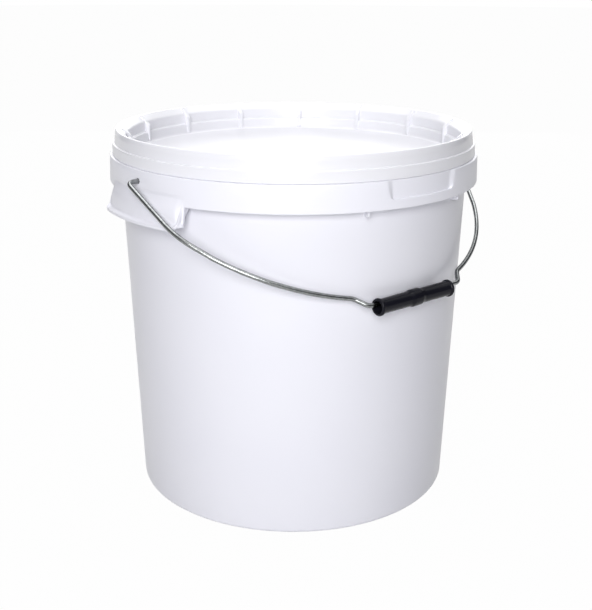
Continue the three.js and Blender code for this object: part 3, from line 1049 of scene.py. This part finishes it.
@dataclass
class Bail:
    """The wire bail, as it hangs on its pivot axis and leans on the wall."""

    pivot: Vector
    grip_centre: Vector
    wire: float = 4.0
    hook_inner: float = 156.8
    leg_reach: float = 173.4
    leg_length: float = 68.0
    leg_taper: float = 5.6
    bow_radius: float = 181.0
    bow_centre_drop: float = -1.8
    crank_half_span: float = 61.0
    seat_half_length: float = 52.0
    seat_drop: float = 180.2
    hook_bend: float = 6.5
    foot_bend: float = 16.0
    crank_bend: float = 4.0
    bow_steps: int = 30
    bow_start: int = 6
    bend_points: int = 9
    wire_roundness: int = 8
    end_bevel: float = 0.5
    end_angle: float = 60.0
    shade_limit: float = 50.0

    def half_route(self) -> list[Flat]:
        """Returns half of the centre line, hook to middle, as (sideways, drop) points."""
        foot = self.leg_reach - self.leg_taper
        start = math.acos(foot / self.bow_radius)
        end = math.acos(self.crank_half_span / self.bow_radius)
        bow = []
        for step in range(self.bow_start + 1, self.bow_steps + 1):
            angle = start + (end - start) * step / self.bow_steps
            drop = self.bow_centre_drop + self.bow_radius * math.sin(angle)
            bend = self.crank_bend if step == self.bow_steps else 0
            bow.append(Corner(self.bow_radius * math.cos(angle), drop, bend))
        corners = [
            Corner(self.hook_inner, 0),
            Corner(self.leg_reach, 0, self.hook_bend),
            Corner(foot, self.leg_length, self.foot_bend),
            *bow,
            Corner(self.seat_half_length, self.seat_drop, self.crank_bend),
            Corner(0, self.seat_drop),
        ]
        return rounded(corners, self.bend_points)

    def route(self) -> list[Vector]:
        """Returns the whole centre line in the frame, in metres."""
        hang = self.grip_centre - self.pivot
        hang.x = 0
        down = hang.normalized()
        half = self.half_route()
        flat = half + [(-across, drop) for across, drop in reversed(half[:-1])]
        return [
            self.pivot + Vector((across * MM, 0, 0)) + down * drop * MM for across, drop in flat
        ]

    def build(self, material: Finish) -> None:
        """Draws the wire along its route and dresses it.

        Args:
            material: The wire's finish.
        """
        route = self.route()
        curve = bpy.data.curves.new("bail_wire", "CURVE")
        curve.dimensions = "3D"
        curve.bevel_depth = self.wire / 2 * MM
        curve.bevel_resolution = self.wire_roundness
        curve.use_fill_caps = True
        spline = curve.splines.new("POLY")
        spline.points.add(len(route) - 1)
        for point, place in zip(spline.points, route):
            point.co = (*place, 1.0)
        piece = bpy.data.objects.new("bail_wire", curve)
        bpy.context.collection.objects.link(piece)
        pick_up(piece)
        bpy.ops.object.convert(target="MESH")
        edit(piece)
        bpy.ops.mesh.remove_doubles(threshold=WELD)
        bpy.ops.mesh.normals_make_consistent(inside=False)
        leave_edit()
        rim = piece.modifiers.new("cut_end", "BEVEL")
        rim.limit_method = "ANGLE"
        rim.angle_limit = math.radians(self.end_angle)
        rim.width = self.end_bevel * MM
        rim.segments = 2
        bpy.ops.object.modifier_apply(modifier=rim.name)
        self.lay_map(piece, route)
        dress(smoothed(piece, self.shade_limit), material, "bail")
        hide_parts("bail")

    def lay_map(self, piece: Piece, route: Sequence[Vector]) -> None:
        """Lays a map along the wire: distance along it, and way round it.

        Args:
            piece: The wire's mesh.
            route: Its centre line.
        """
        lengths = [0.0]
        for before, after in zip(route, route[1:]):
            lengths.append(lengths[-1] + (after - before).length)
        up = Vector((1, 0, 0)).cross(route[len(route) // 2] - self.pivot).normalized()
        places = []
        for vertex in piece.data.vertices:
            at = min(range(len(route)), key=lambda i: (route[i] - vertex.co).length_squared)
            off = vertex.co - route[at]
            ahead = route[min(at + 1, len(route) - 1)] - route[max(at - 1, 0)]
            side = ahead.cross(up).normalized()
            way_round = math.atan2(off.dot(up), off.dot(side)) / math.tau
            places.append((lengths[at] + off.dot(ahead.normalized()), way_round))
        layer = piece.data.uv_layers.new(name="along")
        for loop in piece.data.loops:
            layer.data[loop.index].uv = places[loop.vertex_index]


@dataclass
class Grip:
    """The moulded grip that hangs loose on the wire."""

    centre: Vector
    length: float = 83.0
    body: float = 6.3
    bore: float = 5.3
    flange: float = 7.3
    flange_width: float = 2.4
    band: float = 7.2
    band_width: float = 9.0
    band_slope: float = 3.0
    steps: int = 96
    corner_points: int = 5

    def build(self, material: Finish) -> None:
        """Spins the grip, lays it along the wire and dresses it.

        Args:
            material: The grip's plastic.
        """
        half = self.length / 2
        lip = (self.flange - self.bore) / 3
        end = [
            Corner(self.bore, half, 0.25),
            Corner(self.flange - lip, half, 0.4),
            Corner(self.flange, half - lip, 0.5),
            Corner(self.flange, half - self.flange_width, 0.5),
            Corner(self.body, half - self.flange_width - lip, 0.6),
            Corner(self.body, self.band_width / 2 + self.band_slope, 1.6),
            Corner(self.band, self.band_width / 2, 1.4),
        ]
        start = Corner(self.bore, -half)
        other = [Corner(c.across, -c.up, c.bend) for c in end]
        corners = [start, *other[1:], *end[::-1][:-1], Corner(self.bore, half)]
        piece = spun("grip_tube", rounded(corners, self.corner_points), self.steps)
        piece.rotation_euler.y = math.pi / 2
        piece.location = self.centre
        dress(smoothed(settle(piece), SHARP_LIMIT), material, "grip")
        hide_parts("grip")


# Studio


class Side(Enum):
    """Which way from the object a lamp stands, as seen from the camera."""

    LEFT = -1
    MIDDLE = 0


@dataclass(frozen=True)
class Softbox:
    """One square soft lamp: how far it stands towards the camera, aside and up, size, power."""

    name: str
    side: Side
    towards: float
    aside: float
    up: float
    size: float
    power: float


LAMPS = (
    Softbox("key_left", Side.LEFT, towards=1.7, aside=0.18, up=0.85, size=1.0, power=30.5),
    Softbox("overhead", Side.MIDDLE, towards=-0.2, aside=0.0, up=1.9, size=1.8, power=25.0),
    Softbox("rear_fill", Side.MIDDLE, towards=-1.9, aside=0.0, up=0.7, size=1.6, power=12.0),
)


@dataclass
class Studio:
    """Camera, floor, white surroundings and lamps."""

    camera_place: Place = (-0.5914, -0.7088, 0.4645)
    camera_heading: float = 40.0
    camera_dip: float = 18.317
    camera_roll: float = 0.218
    focal_pixels: float = 1029.1
    frame_long_side: float = 610.0
    sensor: float = 36.0
    seen: Flat = (0.05, 60.0)
    aim_height: float = 0.18
    floor_radius: float = 12.0
    floor_colour: Colour = (0.5, 0.5, 0.51)
    floor_roughness: float = 0.9
    floor_shadow: float = 0.02
    ambient: float = 0.02
    room_radius: float = 6.0
    room_height: float = 5.0
    room_gap: float = 38.0
    room_glow: Colour = (0.06, 0.06, 0.078)

    def camera(self) -> None:
        """Sets the camera up at the photograph's station."""
        data = bpy.data.cameras.new("camera")
        data.sensor_width = self.sensor
        data.lens = self.focal_pixels * self.sensor / self.frame_long_side
        data.clip_start, data.clip_end = self.seen
        camera = bpy.data.objects.new("camera", data)
        bpy.context.scene.collection.objects.link(camera)
        turn = Matrix.Rotation(math.radians(-self.camera_heading), 4, "Z")
        tip = Matrix.Rotation(math.radians(90 - self.camera_dip), 4, "X")
        roll = Matrix.Rotation(math.radians(self.camera_roll), 4, "Z")
        camera.matrix_world = Matrix.Translation(Vector(self.camera_place)) @ turn @ tip @ roll
        bpy.context.scene.camera = camera

    def background_share(self, build: Builder) -> Socket:
        """Returns 1 for the rays that see the white background: camera, gloss and glass."""
        rays = build.node("LightPath").outputs
        either = build.maths("MAXIMUM", rays["Is Camera Ray"], rays["Is Glossy Ray"])
        return build.maths("MAXIMUM", either, rays["Is Transmission Ray"])

    def floor(self) -> None:
        """Lays the pale floor, which keeps a soft shadow of the object."""
        deselect()
        bpy.ops.mesh.primitive_circle_add(vertices=96, radius=self.floor_radius, fill_type="NGON")
        floor = bpy.context.active_object
        floor.name = "studio_floor"
        made, build, shader = blank_material("studio_floor")
        shader.inputs["Base Color"].default_value = (*self.floor_colour, 1.0)
        shader.inputs["Roughness"].default_value = self.floor_roughness
        glow = build.node("Emission", Color=(1.0, 1.0, 1.0, 1.0), Strength=1.0)
        seen = build.maths("MULTIPLY", self.background_share(build), 1.0 - self.floor_shadow)
        both = build.node("MixShader")
        build.tree.links.new(seen, both.inputs[0])
        build.tree.links.new(shader.outputs[0], both.inputs[1])
        build.tree.links.new(glow.outputs[0], both.inputs[2])
        surface = build.tree.nodes["Material Output"].inputs["Surface"]
        build.tree.links.new(both.outputs[0], surface)
        floor.data.materials.append(made)

    def room(self) -> None:
        """Stands the dim room's walls round the set, which only gloss shows, open at the back."""
        deselect()
        bpy.ops.mesh.primitive_circle_add(vertices=72, radius=self.room_radius, fill_type="NOTHING")
        room = bpy.context.active_object
        room.name = "studio_room"
        edit(room)
        bpy.ops.mesh.extrude_edges_move(TRANSFORM_OT_translate={"value": (0, 0, self.room_height)})
        shape = bmesh.from_edit_mesh(room.data)
        for face in shape.faces:
            middle = face.calc_center_median()
            bearing = math.degrees(math.atan2(middle.x, middle.y))
            face.select_set(off_axis(bearing, self.camera_heading) < self.room_gap)
        bmesh.update_edit_mesh(room.data)
        bpy.ops.mesh.delete(type="FACE")
        leave_edit()
        made, _, shader = blank_material("studio_room")
        shader.inputs["Base Color"].default_value = (0.0, 0.0, 0.0, 1.0)
        shader.inputs["Emission Color"].default_value = (*self.room_glow, 1.0)
        shader.inputs["Emission Strength"].default_value = 1.0
        room.data.materials.append(made)
        room.visible_camera = False
        room.visible_diffuse = False
        room.visible_shadow = False
        room.visible_transmission = False

    def surroundings(self) -> None:
        """Fills the surroundings: white where they are seen, dimmer as light on the object."""
        world = bpy.data.worlds.new("studio")
        bpy.context.scene.world = world
        world.use_nodes = True
        build = Builder(world.node_tree)
        fill = world.node_tree.nodes["Background"]
        strength = build.spread(self.background_share(build), (0.0, 1.0), (self.ambient, 1.0))
        fill.inputs["Color"].default_value = (1.0, 1.0, 1.0, 1.0)
        build.feed(fill, "Strength", strength)

    def lamp(self, box: Softbox) -> None:
        """Hangs one soft lamp and turns it to the object.

        Args:
            box: The lamp's place, size and power.
        """
        heading = math.radians(self.camera_heading)
        back = Vector((-math.sin(heading), -math.cos(heading), 0))
        right = Vector((math.cos(heading), -math.sin(heading), 0))
        place = back * box.towards + right * box.aside * box.side.value + Vector((0, 0, box.up))
        data = bpy.data.lights.new(box.name, "AREA")
        data.shape = "SQUARE"
        data.size = box.size
        data.energy = box.power
        lamp = bpy.data.objects.new(box.name, data)
        bpy.context.scene.collection.objects.link(lamp)
        aim = (Vector((0, 0, self.aim_height)) - place).to_track_quat("-Z", "Y")
        lamp.matrix_world = Matrix.Translation(place) @ aim.to_matrix().to_4x4()

    def build(self) -> None:
        """Sets up camera, floor, surroundings and lamps."""
        self.camera()
        self.floor()
        self.room()
        self.surroundings()
        for box in LAMPS:
            self.lamp(box)
        bpy.context.scene.view_settings.view_transform = "Standard"


def joint_place(name: str) -> Vector:
    """Returns where the record puts a joint, in metres."""
    return Vector(next(j["pos_m"] for j in frame["joints"] if j["name"] == name))


def main() -> None:
    """Builds the dressed pail, lid, bail and grip, and their studio."""
    logging.basicConfig(level=logging.INFO, format="%(name)s: %(message)s")
    effects = Effects()
    white = Moulded("pail_polypropylene", (0.80, 0.80, 0.86), (0.77, 0.77, 0.84))
    bright = Moulded(
        "lid_polypropylene",
        (0.79, 0.79, 0.83),
        (0.76, 0.76, 0.81),
        roughness=(0.18, 0.28),
        ripple=9.0,
        relief=0.0004,
    )
    black = Moulded(
        "grip_black",
        (0.006, 0.006, 0.010),
        (0.012, 0.012, 0.017),
        roughness=(0.16, 0.26),
        ripple=40.0,
        relief=0.0002,
        shine=0.12,
    )
    PailBody().build(white.material(effects))
    Lid().build(bright.material(effects))
    grip_centre = joint_place("grip_spin")
    Bail(joint_place("bail_swing"), grip_centre).build(DrawnWire().material(effects))
    Grip(grip_centre).build(black.material(effects))
    Studio().build()


if __name__ == "__main__":
    main()
